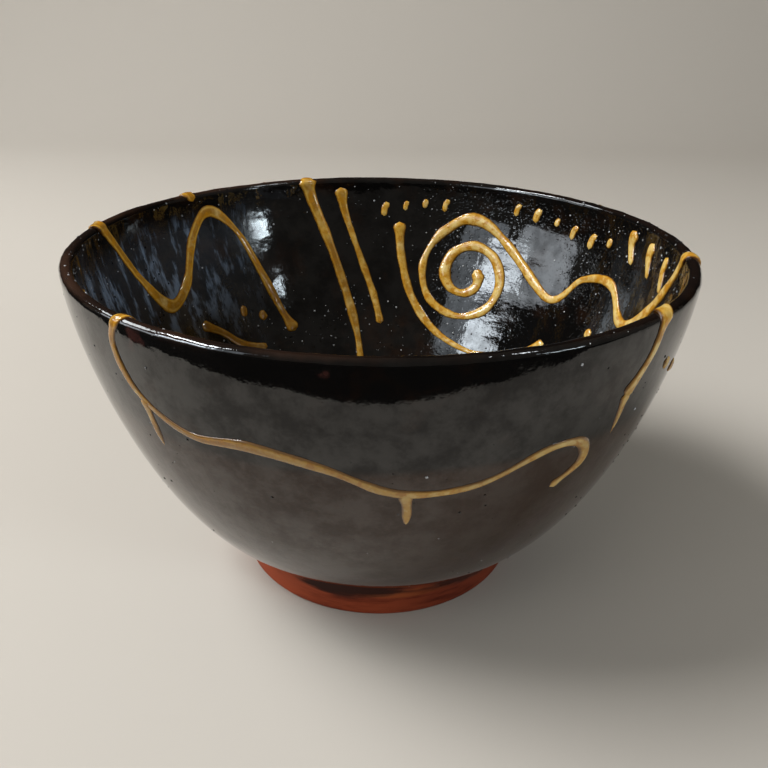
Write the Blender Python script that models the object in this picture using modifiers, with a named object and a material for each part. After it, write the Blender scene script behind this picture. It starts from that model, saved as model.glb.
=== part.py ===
"""A thrown and turned bowl on a foot ring: one closed piece of clay, hollow, with true walls.

The bowl stands on its foot ring at z = 0, centred on the Z axis. Units are metres.
"""
import math

import bpy

# Driving dimensions of the turned shape
RIM_RADIUS = 0.100         # axis to the outermost point of the lip
HEIGHT = 0.117             # table to the top of the lip
LIP_THICKNESS = 0.0039     # the wall where it ends in the round lip
WALL_AT_FOOT = 0.0070      # the wall where the belly leaves the foot
FOOT_RADIUS = 0.0505       # outside of the foot ring where it stands
FOOT_TOP_RADIUS = 0.0495   # outside of the foot ring where the belly begins
FOOT_HEIGHT = 0.0150       # table to the start of the belly
FOOT_RING_WIDTH = 0.0080   # clay between the outside of the ring and the recess
FOOT_EDGE = 0.0012         # rounding of the ring's two standing edges
RECESS_DEPTH = 0.0060      # turned hollow under the foot
RECESS_CORNER = 0.0025     # cove between the recess wall and its roof
FLOOR_THICKNESS = 0.0080   # clay between the recess and the middle of the well

# The belly is one curve: its direction and fullness where it leaves the foot and where it meets the lip
BELLY_ANGLE = math.radians(14.0)
BELLY_FULLNESS = 0.0310
RIM_ANGLE = math.radians(88.0)
RIM_FULLNESS = 0.0260
WELL_FULLNESS = 0.0160     # how far the well stays level, and how far it follows the wall

# Facets of the turned solid
TURN_STEPS = 72
BELLY_STEPS = 16
WELL_STEPS = 6
LIP_STEPS = 6
EDGE_STEPS = 3
MERGE_DISTANCE = 0.00001
SHARP_ANGLE = math.radians(40.0)

GLAZE_COLOUR = (0.012, 0.010, 0.009, 1.0)
GLAZE_ROUGHNESS = 0.08


def point_on_curve(start, start_handle, end_handle, end, t):
    """The point at t, from 0 to 1, on a cubic curve, with the direction in which the curve runs there."""
    s = 1.0 - t
    point = [
        s ** 3 * a + 3 * s * s * t * b + 3 * s * t * t * c + t ** 3 * d
        for a, b, c, d in zip(start, start_handle, end_handle, end)
    ]
    run = [
        3 * s * s * (b - a) + 6 * s * t * (c - b) + 3 * t * t * (d - c)
        for a, b, c, d in zip(start, start_handle, end_handle, end)
    ]
    length = math.hypot(*run)
    return point, (run[0] / length, run[1] / length)


def arc(centre, radius, start_angle, end_angle, steps):
    """Points on an arc of the profile, its first and last point included."""
    angles = [start_angle + (end_angle - start_angle) * i / steps for i in range(steps + 1)]
    return [(centre[0] + radius * math.cos(a), centre[1] + radius * math.sin(a)) for a in angles]


def lip_centre():
    """The centre of the round that ends the wall, as radius and height."""
    return (RIM_RADIUS - LIP_THICKNESS / 2, HEIGHT - LIP_THICKNESS / 2)


def belly_samples():
    """Points of the outer wall from the foot to the lip, each with the wall's direction and thickness there."""
    centre = lip_centre()
    start = (FOOT_TOP_RADIUS, FOOT_HEIGHT)
    end = (
        centre[0] + LIP_THICKNESS / 2 * math.sin(RIM_ANGLE),
        centre[1] - LIP_THICKNESS / 2 * math.cos(RIM_ANGLE),
    )
    start_handle = (
        start[0] + BELLY_FULLNESS * math.cos(BELLY_ANGLE),
        start[1] + BELLY_FULLNESS * math.sin(BELLY_ANGLE),
    )
    end_handle = (
        end[0] - RIM_FULLNESS * math.cos(RIM_ANGLE),
        end[1] - RIM_FULLNESS * math.sin(RIM_ANGLE),
    )
    samples = []
    for i in range(BELLY_STEPS + 1):
        t = i / BELLY_STEPS
        point, run = point_on_curve(start, start_handle, end_handle, end, t)
        thickness = WALL_AT_FOOT + (LIP_THICKNESS - WALL_AT_FOOT) * t
        samples.append((point, run, thickness))
    return samples


def inner_wall(samples):
    """The outer wall moved inwards by the clay's thickness, from the well to the lip."""
    return [
        (point[0] - run[1] * thickness, point[1] + run[0] * thickness)
        for point, run, thickness in samples
    ]


def well(wall_start, wall_run):
    """The floor inside the bowl, from its middle out to where the inner wall starts."""
    middle = (0.0, RECESS_DEPTH + FLOOR_THICKNESS)
    level_handle = (WELL_FULLNESS, middle[1])
    wall_handle = (wall_start[0] - WELL_FULLNESS * wall_run[0], wall_start[1] - WELL_FULLNESS * wall_run[1])
    return [
        point_on_curve(middle, level_handle, wall_handle, wall_start, i / WELL_STEPS)[0]
        for i in range(WELL_STEPS)
    ]


def lip():
    """The round of the lip, from the inner wall over to the outer one, without its two ends."""
    outer_angle = RIM_ANGLE - math.pi / 2
    return arc(lip_centre(), LIP_THICKNESS / 2, outer_angle + math.pi, outer_angle, LIP_STEPS)[1:-1]


def foot():
    """The foot ring and the recess, from the ring's outside to the axis."""
    ring_inside = FOOT_RADIUS - FOOT_RING_WIDTH
    outer_edge = arc((FOOT_RADIUS - FOOT_EDGE, FOOT_EDGE), FOOT_EDGE, 0.0, -math.pi / 2, EDGE_STEPS)
    inner_edge = arc((ring_inside + FOOT_EDGE, FOOT_EDGE), FOOT_EDGE, -math.pi / 2, -math.pi, EDGE_STEPS)
    corner = (ring_inside - RECESS_CORNER, RECESS_DEPTH - RECESS_CORNER)
    cove = arc(corner, RECESS_CORNER, 0.0, math.pi / 2, EDGE_STEPS)
    return outer_edge + inner_edge + cove + [(0.0, RECESS_DEPTH)]


def bowl_profile():
    """Half the bowl's section, from the middle of the well, over the lip, down the outside and under."""
    samples = belly_samples()
    inside = inner_wall(samples)
    outside = [point for point, _, _ in reversed(samples)]
    return well(inside[0], samples[0][1]) + inside + lip() + outside + foot()


def turned(name, profile, collection, material):
    """Revolve a profile, drawn at +X, about the Z axis into a closed solid."""
    mesh = bpy.data.meshes.new(name)
    points = [(radius, 0.0, height) for radius, height in profile]
    mesh.from_pydata(points, [(i, i + 1) for i in range(len(points) - 1)], [])
    mesh.materials.append(material)
    piece = bpy.data.objects.new(name, mesh)
    collection.objects.link(piece)
    screw = piece.modifiers.new("Turning", "SCREW")
    screw.axis = "Z"
    screw.angle = 2 * math.pi
    screw.steps = TURN_STEPS
    screw.render_steps = TURN_STEPS
    screw.use_merge_vertices = True
    screw.merge_threshold = MERGE_DISTANCE
    return piece


def shade_round(piece):
    """Make the turned shape a plain mesh, smooth except at its crisp turned corners."""
    depsgraph = bpy.context.evaluated_depsgraph_get()
    mesh = bpy.data.meshes.new_from_object(piece.evaluated_get(depsgraph))
    piece.modifiers.clear()
    piece.data = mesh
    mesh.shade_smooth()
    mesh.set_sharp_from_angle(angle=SHARP_ANGLE)


def glaze(name, colour, roughness):
    """A plain glossy finish."""
    material = bpy.data.materials.new(name)
    material.use_nodes = True
    shader = material.node_tree.nodes["Principled BSDF"]
    shader.inputs["Base Color"].default_value = colour
    shader.inputs["Roughness"].default_value = roughness
    shader.inputs["Metallic"].default_value = 0.0
    return material


for leftover in list(bpy.data.objects):
    bpy.data.objects.remove(leftover)

footed_bowl = bpy.data.collections.new("footed_bowl")
bpy.context.scene.collection.children.link(footed_bowl)

black_glaze = glaze("black_glaze", GLAZE_COLOUR, GLAZE_ROUGHNESS)
bowl = turned("bowl", bowl_profile(), footed_bowl, black_glaze)
shade_round(bowl)
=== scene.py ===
# %% [markdown]
# A thrown bowl of red earthenware stands on a turned foot. It is glazed black inside and out, with loose
# lines of yellow slip trailed over the wall, and the foot is left bare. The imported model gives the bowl's
# place and size as one plain solid. This lesson turns a finer bowl over it, trails the slip, and mixes the
# glazes.

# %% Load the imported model
import math
import random

import bpy
from mathutils import Matrix, Vector


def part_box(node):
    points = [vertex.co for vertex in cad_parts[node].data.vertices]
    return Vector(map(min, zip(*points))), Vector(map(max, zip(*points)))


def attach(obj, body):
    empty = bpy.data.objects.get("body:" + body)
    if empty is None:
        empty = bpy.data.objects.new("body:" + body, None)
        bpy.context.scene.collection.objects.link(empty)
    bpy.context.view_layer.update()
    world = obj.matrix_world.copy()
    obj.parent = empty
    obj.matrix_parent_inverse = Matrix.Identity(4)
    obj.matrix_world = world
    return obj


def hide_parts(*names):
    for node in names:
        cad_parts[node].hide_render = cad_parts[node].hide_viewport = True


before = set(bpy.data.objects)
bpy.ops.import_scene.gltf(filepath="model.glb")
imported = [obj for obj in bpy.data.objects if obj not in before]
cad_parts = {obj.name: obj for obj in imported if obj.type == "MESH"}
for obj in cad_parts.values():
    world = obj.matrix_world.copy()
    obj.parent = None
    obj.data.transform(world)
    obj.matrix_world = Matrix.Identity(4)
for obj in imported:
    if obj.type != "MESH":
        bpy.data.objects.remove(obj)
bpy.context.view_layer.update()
RIM_RADIUS, _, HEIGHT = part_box("bowl")[1]
MM = 0.001
print("rim radius", round(RIM_RADIUS / MM, 1), "mm, height", round(HEIGHT / MM, 1), "mm")

# %% [markdown]
# The photograph was taken by hand from close by, a little above the rim, so the near wall looks large and
# the foot small. The camera repeats that: its place, its tilt and its lens were worked out from the outline
# of the bowl, because only the right distance gives the right ellipses at the rim and the foot.

# %% Camera at the photograph's place
CAMERA_DISTANCE = 250.2 * MM   # from the bowl's axis, on the near side
CAMERA_HEIGHT = 184.8 * MM
CAMERA_PITCH = math.radians(26.05)   # looking down
CAMERA_YAW = math.radians(-0.35)
CAMERA_ROLL = math.radians(0.80)
FRAME_PIXELS = 768
FOCAL_PIXELS = 769
SENSOR_WIDTH = 36.0


def in_scene(name, data):
    """A new object that holds the given data, in the scene."""
    made = bpy.data.objects.new(name, data)
    bpy.context.scene.collection.objects.link(made)
    return made


def photograph_camera():
    """A camera at the photograph's viewing angle."""
    data = bpy.data.cameras.new("camera")
    data.sensor_width = SENSOR_WIDTH
    data.lens = SENSOR_WIDTH * FOCAL_PIXELS / FRAME_PIXELS
    data.clip_start = 10 * MM
    camera = in_scene("camera", data)
    camera.matrix_world = (
        Matrix.Translation((0.0, -CAMERA_DISTANCE, CAMERA_HEIGHT))
        @ Matrix.Rotation(CAMERA_YAW, 4, "Z")
        @ Matrix.Rotation(math.pi / 2 - CAMERA_PITCH, 4, "X")
        @ Matrix.Rotation(CAMERA_ROLL, 4, "Z")
    )
    return camera


bpy.context.scene.camera = photograph_camera()
print("lens", round(bpy.context.scene.camera.data.lens, 1), "mm")

# %% [markdown]
# The trees of nodes below, for geometry and for materials, could be wired by hand in the node editor. A
# script builds the same trees with a few small helpers. One adds a node and fills or links its inputs, one
# multiplies, one makes noise, and one stretches a range, which is how a mask is cut.

# %% Helpers for node trees


def add(tree, kind, inputs=None, **settings):
    """Add a node, set its own properties, and give each input a plain value or a link."""
    made = tree.nodes.new(kind)
    for name, value in settings.items():
        setattr(made, name, value)
    for key, value in (inputs or {}).items():
        if isinstance(value, bpy.types.NodeSocket):
            tree.links.new(value, made.inputs[key])
        else:
            made.inputs[key].default_value = value
    return made


def sum_of(tree, operation, first, second=0.0, third=0.0):
    """The result of one Math node."""
    return add(tree, "ShaderNodeMath", {0: first, 1: second, 2: third}, operation=operation).outputs[0]


def times(tree, first, second, plus=0.0):
    """The first value times the second, plus a third."""
    return sum_of(tree, "MULTIPLY_ADD", first, second, plus)


def ramp(tree, value, start, end, low=0.0, high=1.0):
    """A smooth step from low to high, as value goes from start to end."""
    stretch = {"Value": value, "From Min": start, "From Max": end, "To Min": low, "To Max": high}
    return add(tree, "ShaderNodeMapRange", stretch, interpolation_type="SMOOTHSTEP").outputs["Result"]


def noise(tree, where, scale, detail=2.0, roughness=0.5):
    """A noise between 0 and 1, with about scale bumps in a metre."""
    inputs = {"Vector": where, "Scale": scale, "Detail": detail, "Roughness": roughness}
    return add(tree, "ShaderNodeTexNoise", inputs).outputs[0]


def waver(tree, where, scale):
    """A noise that wavers about zero, by up to a half each way."""
    return sum_of(tree, "SUBTRACT", noise(tree, where, scale), 0.5)


def axes_of(tree, where):
    """The X, Y and Z of a place."""
    return add(tree, "ShaderNodeSeparateXYZ", {0: where}).outputs


def joined(tree, x, y, z):
    """A place made of its X, Y and Z."""
    return add(tree, "ShaderNodeCombineXYZ", {0: x, 1: y, 2: z}).outputs[0]


print("node helpers are ready")

# %% [markdown]
# A tree of Geometry Nodes is a small machine: an object goes in, named inputs say how large and how many,
# and a mesh comes out. These helpers build the two ends of such a machine, write values onto the points as
# named attributes, and keep what comes out as a plain mesh, because only a plain mesh is handed over.

# %% Helpers that grow a piece


def geometry_tree(name, *sockets):
    """A Geometry Nodes tree with the given named inputs; returns the tree, its inputs and its output node."""
    tree = bpy.data.node_groups.new(name, "GeometryNodeTree")
    tree.interface.new_socket("Geometry", in_out="INPUT", socket_type="NodeSocketGeometry")
    tree.interface.new_socket("Geometry", in_out="OUTPUT", socket_type="NodeSocketGeometry")
    for title, kind in sockets:
        tree.interface.new_socket(title, in_out="INPUT", socket_type="NodeSocket" + kind)
    return tree, tree.nodes.new("NodeGroupInput").outputs, tree.nodes.new("NodeGroupOutput")


def store(tree, geometry, name, value, data_type="FLOAT"):
    """Write a value at each point under a name, for later nodes and for the materials."""
    inputs = {"Geometry": geometry, "Name": name, "Value": value}
    kind = "GeometryNodeStoreNamedAttribute"
    return add(tree, kind, inputs, data_type=data_type, domain="POINT").outputs[0]


def stored(tree, name, data_type="FLOAT"):
    """The value that was written under a name."""
    return add(tree, "GeometryNodeInputNamedAttribute", {"Name": name}, data_type=data_type).outputs[0]


def position(tree):
    """Where each point is."""
    return add(tree, "GeometryNodeInputPosition").outputs[0]


def circle(tree, steps, radius):
    """A closed ring of points."""
    inputs = {"Resolution": steps, "Radius": radius}
    return add(tree, "GeometryNodeCurvePrimitiveCircle", inputs, mode="RADIUS").outputs["Curve"]


def swollen(tree, mesh, lift):
    """A surface pushed outwards by a height at each point."""
    outward = add(tree, "GeometryNodeInputNormal").outputs[0]
    offset = add(tree, "ShaderNodeVectorMath", {0: outward, "Scale": lift}, operation="SCALE").outputs[0]
    return add(tree, "GeometryNodeSetPosition", {"Geometry": mesh, "Offset": offset}).outputs[0]


def finish_tree(tree, output, mesh, finish):
    """End a tree: real geometry, smooth faces, and one material."""
    real = add(tree, "GeometryNodeRealizeInstances", {"Geometry": mesh}).outputs[0]
    smooth = add(tree, "GeometryNodeSetShadeSmooth", {"Geometry": real}).outputs[0]
    dressed = add(tree, "GeometryNodeSetMaterial", {"Geometry": smooth, "Material": finish}).outputs[0]
    tree.links.new(dressed, output.inputs[0])


def grow(source, name, tree, **values):
    """Run a tree on an object, and keep the result as a plain mesh object with no modifier."""
    modifier = source.modifiers.new(tree.name, "NODES")
    identifiers = {
        item.name: item.identifier for item in tree.interface.items_tree if item.in_out == "INPUT"
    }
    modifier.node_group = tree
    for title, value in values.items():
        modifier[identifiers[title.replace("_", " ")]] = value
    depsgraph = bpy.context.evaluated_depsgraph_get()
    mesh = bpy.data.meshes.new_from_object(source.evaluated_get(depsgraph))
    mesh.name = name
    bpy.data.objects.remove(source)
    triangles = sum(len(polygon.vertices) - 2 for polygon in mesh.polygons)
    print(name, "has", len(mesh.vertices), "points and", triangles, "triangles")
    return in_scene(name, mesh)


def drawn_curve(name, lines):
    """A curve object of straight-run splines; each line is a list of points with a radius for each."""
    data = bpy.data.curves.new(name, "CURVE")
    data.dimensions = "3D"
    for points, radii in lines:
        spline = data.splines.new("POLY")
        spline.points.add(len(points) - 1)
        for slot, point, radius in zip(spline.points, points, radii):
            slot.co = (*point, 1.0)
            slot.radius = radius
    return in_scene(name, data)


print("growing helpers are ready")

# %% [markdown]
# A thrown bowl is fully told by half of its section, which could be drawn by hand as a curve. Three kinds
# of line are enough for it: a cubic curve for the belly and the well, an arc for each rounded edge, and a
# straight run for the foot. Each is a small function that gives points as radius and height.

# %% Curves for a section


def direction(angle):
    """A step of length one in the section, at an angle above level."""
    return Vector((math.cos(angle), math.sin(angle)))


def cubic(start, start_handle, end_handle, end, steps):
    """Points on a cubic curve in the section, each with the curve's direction there."""
    found = []
    for i in range(steps + 1):
        t = i / steps
        s = 1.0 - t
        place = s ** 3 * start + 3 * s * s * t * start_handle + 3 * s * t * t * end_handle + t ** 3 * end
        run = s * s * (start_handle - start) + 2 * s * t * (end_handle - start_handle)
        run += t * t * (end - end_handle)
        found.append((place, run.normalized()))
    return found


def arc(centre, radius, start_angle, end_angle, steps):
    """Points on an arc of the section, both ends included."""
    return [
        Vector(centre) + radius * direction(start_angle + (end_angle - start_angle) * i / steps)
        for i in range(steps + 1)
    ]


def straight(start, end, steps):
    """Points between two points, both left out."""
    return [start.lerp(end, i / steps) for i in range(1, steps)]


print("a quarter round has", len(arc((0.0, 0.0), 1.0, 0.0, math.pi / 2, 5)), "points")

# %% [markdown]
# The section runs from the middle of the well up the inner wall, over the round lip, down the belly to the
# turned foot, and under it to the recess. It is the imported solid's own section, with many more points. A
# point's station is its distance along the section from the top of the lip, less than nothing inside and
# more outside. It is the bowl's own ruler, for the rings, the slip and the glaze.

# %% Section of the bowl
LIP_THICKNESS = 3.9 * MM
WALL_AT_FOOT = 7.0 * MM
FOOT_RADIUS = 50.5 * MM
FOOT_TOP_RADIUS = 49.5 * MM
FOOT_HEIGHT = 15.0 * MM
FOOT_RING_WIDTH = 8.0 * MM
FOOT_EDGE = 1.2 * MM
RECESS_DEPTH = 6.0 * MM
RECESS_CORNER = 2.5 * MM
FLOOR_THICKNESS = 8.0 * MM
BELLY_ANGLE = math.radians(14.0)
BELLY_FULLNESS = 31.0 * MM
RIM_ANGLE = math.radians(88.0)
RIM_FULLNESS = 26.0 * MM
WELL_FULLNESS = 16.0 * MM
LIP_CENTRE = Vector((RIM_RADIUS - LIP_THICKNESS / 2, HEIGHT - LIP_THICKNESS / 2))
WELL_STEPS = 26
BELLY_STEPS = 88
LIP_STEPS = 14     # an even number, so that one point is the very top
FOOT_STEPS = 10
RING_STEPS = 3
EDGE_STEPS = 5
RECESS_STEPS = 20


def foot_section(start):
    """The outside of the foot, its standing ring, and the cove of the recess."""
    inside = FOOT_RADIUS - FOOT_RING_WIDTH
    edge = arc((FOOT_RADIUS - FOOT_EDGE, FOOT_EDGE), FOOT_EDGE, 0.0, -math.pi / 2, EDGE_STEPS)
    inner_edge = arc((inside + FOOT_EDGE, FOOT_EDGE), FOOT_EDGE, -math.pi / 2, -math.pi, EDGE_STEPS)
    corner = (inside - RECESS_CORNER, RECESS_DEPTH - RECESS_CORNER)
    cove = arc(corner, RECESS_CORNER, 0.0, math.pi / 2, EDGE_STEPS)
    standing = straight(edge[-1], inner_edge[0], RING_STEPS)
    return straight(start, edge[0], FOOT_STEPS) + edge + standing + inner_edge + cove


def section():
    """The section's points as radius and height, and the numbers of its lip, foot corner and recess."""
    lip_turn = RIM_ANGLE - math.pi / 2
    start = Vector((FOOT_TOP_RADIUS, FOOT_HEIGHT))
    end = LIP_CENTRE + LIP_THICKNESS / 2 * direction(lip_turn)
    start_handle = start + BELLY_FULLNESS * direction(BELLY_ANGLE)
    end_handle = end - RIM_FULLNESS * direction(RIM_ANGLE)
    belly = cubic(start, start_handle, end_handle, end, BELLY_STEPS)
    inner = []
    for i, (place, run) in enumerate(belly):
        wall = WALL_AT_FOOT + (LIP_THICKNESS - WALL_AT_FOOT) * i / BELLY_STEPS
        inner.append(place + wall * Vector((-run.y, run.x)))
    middle = Vector((0.0, RECESS_DEPTH + FLOOR_THICKNESS))
    level_handle = middle + Vector((WELL_FULLNESS, 0.0))
    wall_handle = inner[0] - WELL_FULLNESS * belly[0][1]
    well = cubic(middle, level_handle, wall_handle, inner[0], WELL_STEPS)
    points = [place for place, _ in well[:-1]] + inner
    lip = arc(LIP_CENTRE, LIP_THICKNESS / 2, lip_turn + math.pi, lip_turn, LIP_STEPS)
    lip_top = len(points) + LIP_STEPS // 2 - 1
    points += lip[1:-1] + [place for place, _ in reversed(belly)]
    foot_corner = len(points) - 1
    points += foot_section(start)
    recess = len(points)
    recess_middle = Vector((0.0, RECESS_DEPTH))
    points += straight(points[-1], recess_middle, RECESS_STEPS) + [recess_middle]
    return points, lip_top, foot_corner, recess


SECTION, LIP_TOP, FOOT_CORNER, RECESS_START = section()
LENGTHS = [0.0]
for before, after in zip(SECTION, SECTION[1:]):
    LENGTHS.append(LENGTHS[-1] + (after - before).length)
STATIONS = [length - LENGTHS[LIP_TOP] for length in LENGTHS]
print(len(SECTION), "points; the well starts", round(-STATIONS[WELL_STEPS] / MM), "mm below the lip,",
      "the foot", round(STATIONS[FOOT_CORNER] / MM), "mm")

# %% [markdown]
# While the clay turns, the fingers leave a faint spiral ridge inside and the rim sways a little, and later
# the turning tool cuts a spiral in the recess. The glaze ends in a thick roll just above the foot. A bump
# in the material could stand in for these, but real relief also moves the outline, so a few nodes raise
# them.

# %% Marks of the wheel
RING_SPACING = 6.5 * MM
RECESS_RING_SPACING = 3.2 * MM
RINGS_SET_IN = (-6 * MM, -14 * MM)   # stations on the inner wall
RECESS_SET_IN = 6 * MM               # length over which the recess's spiral grows to its full depth
STEADY_FOOT = 8 * MM                 # the sway dies out over this height above the foot
LIP_REACH = 9 * MM                   # the lip's edge ripples this far down each side
GLAZE_EDGE_WANDER = 2.5 * MM
GLAZE_ROLL_WIDTH = 1.3 * MM


def spiral_ridge(tree, station, turn, spacing):
    """A wave from minus one to one that climbs by its spacing with each turn round the bowl."""
    return sum_of(tree, "SINE", times(tree, station, 2 * math.pi / spacing, turn))


def wheel_marks(tree, given):
    """How far the clay and the glaze rise at each point."""
    station = stored(tree, "station")
    where = position(tree)
    axes = axes_of(tree, where)
    turn = sum_of(tree, "ARCTAN2", axes[1], axes[0])
    corner, recess, wobble = given["Corner station"], given["Recess station"], given["Wobble"]
    rings = times(tree, spiral_ridge(tree, station, turn, RING_SPACING), ramp(tree, station, *RINGS_SET_IN))
    in_recess = ramp(tree, station, recess, sum_of(tree, "ADD", recess, RECESS_SET_IN))
    recess_rings = times(tree, spiral_ridge(tree, station, turn, RECESS_RING_SPACING), in_recess)
    marks = times(tree, rings, given["Ring relief"])
    marks = times(tree, recess_rings, given["Recess relief"], marks)
    marks = times(tree, marks, ramp(tree, noise(tree, where, 14.0, 1.0), 0.3, 0.7, 0.2, 1.3))
    above_foot = ramp(tree, station, corner, sum_of(tree, "SUBTRACT", corner, STEADY_FOOT))
    sway = times(tree, times(tree, waver(tree, where, 9.0), wobble), above_foot)
    at_lip = times(tree, ramp(tree, station, -LIP_REACH, 0.0), ramp(tree, station, LIP_REACH, 0.0))
    sway = times(tree, times(tree, waver(tree, where, 90.0), at_lip), wobble, sway)
    roll_place = times(tree, noise(tree, where, 30.0, 1.0), -GLAZE_EDGE_WANDER, corner)
    to_roll = sum_of(tree, "ABSOLUTE", sum_of(tree, "SUBTRACT", station, roll_place))
    roll = times(tree, ramp(tree, to_roll, GLAZE_ROLL_WIDTH, 0.0), given["Glaze roll"])
    return sum_of(tree, "ADD", sum_of(tree, "ADD", marks, sway), roll)


print("rings every", RING_SPACING / MM, "mm inside, every", RECESS_RING_SPACING / MM, "mm in the recess")

# %% [markdown]
# A turned shape could be a Screw modifier, a spin, or a lathe made of nodes. Here the nodes are the better
# wheel, because they also write the station on every point and raise the marks in the same tree. The
# section is swept round a circle too small to see, and the points that meet on the axis are merged.

# %% Turn the bowl on a wheel of nodes
STEPS_AROUND = 360
AXIS_RADIUS = 0.001 * MM
MERGE_DISTANCE = 0.02 * MM


def wheel_tree():
    """Sweeps a section round the axis, then marks the clay."""
    tree, given, output = geometry_tree(
        "Wheel",
        ("Steps around", "Int"),
        ("Lip length", "Float"),
        ("Corner station", "Float"),
        ("Recess station", "Float"),
        ("Ring relief", "Float"),
        ("Recess relief", "Float"),
        ("Wobble", "Float"),
        ("Glaze roll", "Float"),
        ("Finish", "Material"),
    )
    length = add(tree, "GeometryNodeSplineParameter").outputs["Length"]
    station = sum_of(tree, "SUBTRACT", length, given["Lip length"])
    ruled = store(tree, given["Geometry"], "station", station)
    axis = circle(tree, given["Steps around"], AXIS_RADIUS)
    swept = add(tree, "GeometryNodeCurveToMesh", {"Curve": axis, "Profile Curve": ruled}).outputs[0]
    merging = {"Geometry": swept, "Distance": MERGE_DISTANCE}
    clay = add(tree, "GeometryNodeMergeByDistance", merging).outputs[0]
    thrown = swollen(tree, clay, wheel_marks(tree, given))
    finish_tree(tree, output, thrown, given["Finish"])
    return tree


bowl_finish = bpy.data.materials.new("black_glaze_over_red_clay")
profile = drawn_curve("profile", [([(p.x, -p.y, 0.0) for p in SECTION], [1.0] * len(SECTION))])
bowl = grow(
    profile,
    "glazed_bowl",
    wheel_tree(),
    Steps_around=STEPS_AROUND,
    Lip_length=LENGTHS[LIP_TOP],
    Corner_station=STATIONS[FOOT_CORNER],
    Recess_station=STATIONS[RECESS_START],
    Ring_relief=0.016 * MM,
    Recess_relief=0.12 * MM,
    Wobble=0.8 * MM,
    Glaze_roll=0.35 * MM,
    Finish=bowl_finish,
)
print("top of the turned bowl", round(max(v.co.z for v in bowl.data.vertices) / MM, 2), "mm")

# %% [markdown]
# The trails are liquid clay, poured from a fine nozzle in one quick go. They could be painted as colour
# alone, but their edge catches the light, so they are real relief. Each is drawn with a few points, as
# degrees round the bowl and millimetres from the lip, and a smooth curve runs through them.

# %% Places on the bowl
CURVE_STEPS = 40   # fine steps from one drawn point to the next


def on_bowl(turn, station):
    """A place on the bowl, from degrees round it and the station."""
    place = min(max(station, STATIONS[0]), STATIONS[-1])
    i = max(k for k in range(len(STATIONS) - 1) if STATIONS[k] <= place)
    share = (place - STATIONS[i]) / (STATIONS[i + 1] - STATIONS[i])
    radius, height = SECTION[i].lerp(SECTION[i + 1], share)
    angle = math.radians(turn)
    return Vector((radius * math.cos(angle), radius * math.sin(angle), height))


def smooth_run(points, t):
    """The point at t on a smooth curve through points; t counts them, so 1.5 lies halfway past the second."""
    i = min(int(t), len(points) - 2)
    u = t - i
    a, b, c, d = (Vector(points[min(max(k, 0), len(points) - 1)]) for k in (i - 1, i, i + 1, i + 2))
    bend, twist = 2 * a - 5 * b + 4 * c - d, 3 * b - a - 3 * c + d
    return 0.5 * (2 * b + (c - a) * u + bend * u ** 2 + twist * u ** 3)


def path_on_bowl(points):
    """Many places along a drawn line, and the length of the line up to each."""
    fine = [smooth_run(points, i / CURVE_STEPS) for i in range(CURVE_STEPS * (len(points) - 1) + 1)]
    places = [on_bowl(turn, station * MM) for turn, station in fine]
    along = [0.0]
    for before, after in zip(places, places[1:]):
        along.append(along[-1] + (after - before).length)
    return places, along


def even_steps(places, along, count):
    """Places at even steps along a path, each after its distance from the start."""
    stepped, k = [], 0
    for i in range(count + 1):
        far = along[-1] * i / count
        while k < len(along) - 2 and along[k + 1] < far:
            k += 1
        share = (far - along[k]) / max(along[k + 1] - along[k], 1e-9)
        stepped.append((far, places[k].lerp(places[k + 1], min(share, 1.0))))
    return stepped


print("once round the lip is", round(2 * math.pi * on_bowl(0.0, 0.0).x / MM), "mm")

# %% [markdown]
# A hand never pours evenly. A line starts with a drop, swells and thins, and lies wider in a sharp turn,
# where the nozzle lingers. A random width at each point would look nervous, so a few slow waves give it,
# from a fixed seed, and both ends are rounded off.

# %% One poured line
STEP_ALONG = 0.9 * MM
FEWEST_STEPS = 8
SWELLS = ((0.10, 7.0), (0.07, 3.1), (0.16, 19.0))   # share of the width, and length of wave in millimetres
DRIFT = 0.13         # share of the width that changes by chance
DRIFT_STEPS = 6      # steps from one chance value to the next
DROP_REACH = 1.1     # how far the drop at an end reaches, in widths of the line
FINEST_END = 0.03    # width at the very tip, as a share of the line's
POOL_REACH = 4       # steps to each side that tell how sharply a line turns
POOLING = 0.45       # how much wider the slip lies in a sharp turn


def trail(points, width, start_bead=1.5, end_bead=1.2, seed=0):
    """One poured line: its places on the bowl, and half its width at each."""
    chance = random.Random(seed)
    phases = [chance.uniform(0.0, 2 * math.pi) for _ in SWELLS]
    fine, along = path_on_bowl(points)
    length = along[-1]
    count = max(int(length / STEP_ALONG), FEWEST_STEPS)
    drift = [chance.uniform(-1.0, 1.0) for _ in range(count // DRIFT_STEPS + 3)]
    drop = DROP_REACH * width * MM
    picked, radii = [], []
    for i, (far, place) in enumerate(even_steps(fine, along, count)):
        picked.append(place)
        swell = 1.0
        for (depth, wave), phase in zip(SWELLS, phases):
            swell += depth * math.sin(far / (wave * MM) + phase)
        low, high = drift[i // DRIFT_STEPS], drift[i // DRIFT_STEPS + 1]
        swell += DRIFT * (low + (high - low) * (i % DRIFT_STEPS) / DRIFT_STEPS)
        swell += (start_bead - 1.0) * math.exp(-(far / drop) ** 2)
        swell += (end_bead - 1.0) * math.exp(-((length - far) / drop) ** 2)
        half = 0.5 * width * MM * swell
        to_end = min(far, length - far)
        round_off = math.sqrt(max(1.0 - (1.0 - min(to_end / half, 1.0)) ** 2, 0.0))
        radii.append(half * max(round_off, FINEST_END))
    long_enough = len(picked) > 5 * POOL_REACH
    for i in range(POOL_REACH, len(picked) - POOL_REACH if long_enough else 0):
        before, after = picked[i] - picked[i - POOL_REACH], picked[i + POOL_REACH] - picked[i]
        radii[i] *= 1.0 + POOLING * min(before.angle(after, 0.0), 1.0)
    return picked, radii


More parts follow.
